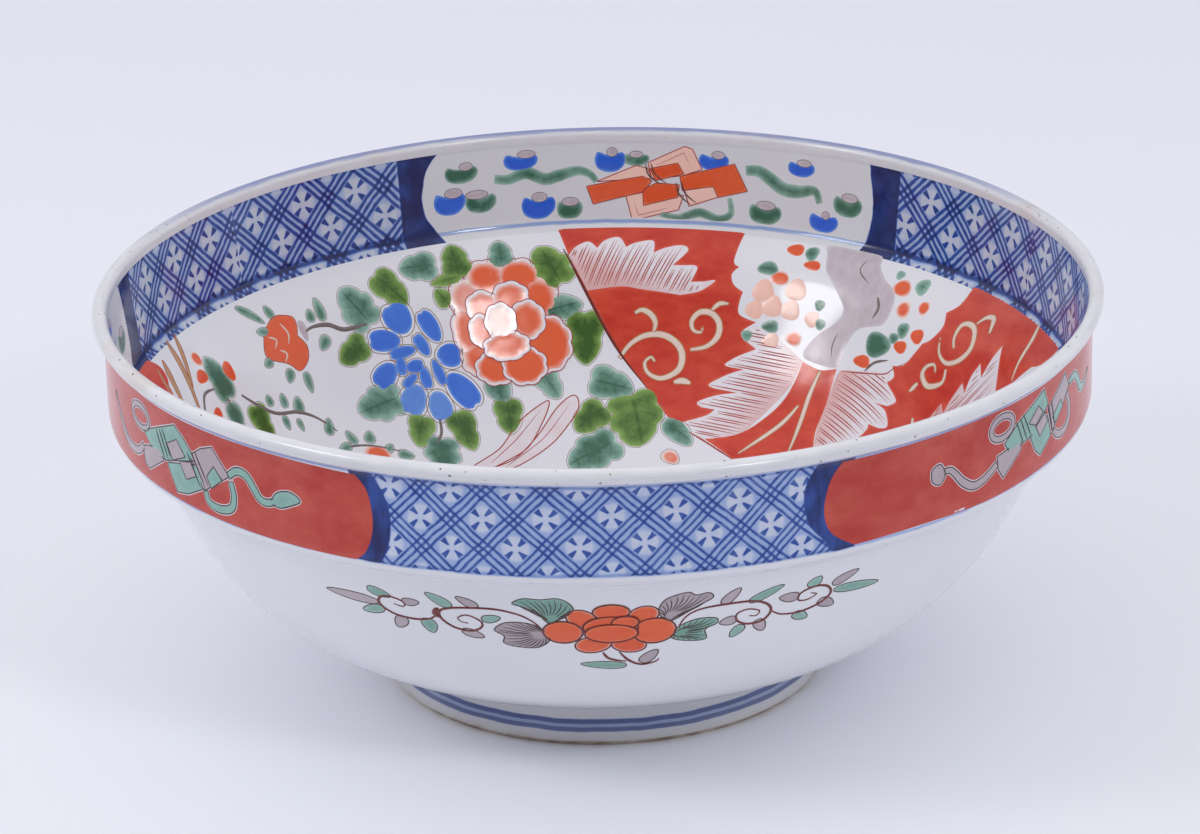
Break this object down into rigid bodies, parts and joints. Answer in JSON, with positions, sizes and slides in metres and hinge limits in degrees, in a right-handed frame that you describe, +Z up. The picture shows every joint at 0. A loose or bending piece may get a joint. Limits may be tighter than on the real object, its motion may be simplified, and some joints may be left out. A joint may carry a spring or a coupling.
{
  "type": "footed porcelain bowl",
  "caption": "Deep round porcelain bowl on a turned foot ring, with an upright painted collar and a rolled lip.",
  "frame": {"origin": "middle of the foot ring, on the plane that the bowl stands on", "axes": "+Z up along the bowl's turning axis; -Y towards the viewer of the picture; +X to the viewer's right"},
  "size_m": [0.25, 0.25, 0.101],
  "materials": {
    "glazed_porcelain": "high gloss clear glaze over white porcelain",
    "bare_lip": "thin glaze worn to a satin white, with brown pinholes",
    "bare_biscuit": "unglazed, fine and dry, stained warm brown",
    "red_enamel": "iron-red and orange enamels, thin, brushed and mottled, over the glaze",
    "green_enamel": "yellow-green, blue-green and turquoise enamels over dark veins",
    "blue_enamel": "thick bright blue enamel over the glaze",
    "lilac_enamel": "thin grey-lilac enamel over the glaze",
    "dark_enamel": "dark brown and red brush lines over the glaze",
    "worn_gilt": "pale cream scrolls where the gilding has worn away"
  },
  "bodies": {
    "root": {"foot_pad": "bare_biscuit", "foot_ring": "glazed_porcelain", "well_floor": "glazed_porcelain", "bowl_wall": "glazed_porcelain", "rim_collar": "glazed_porcelain", "lip_roll": "bare_lip"}
  },
  "joints": []
}
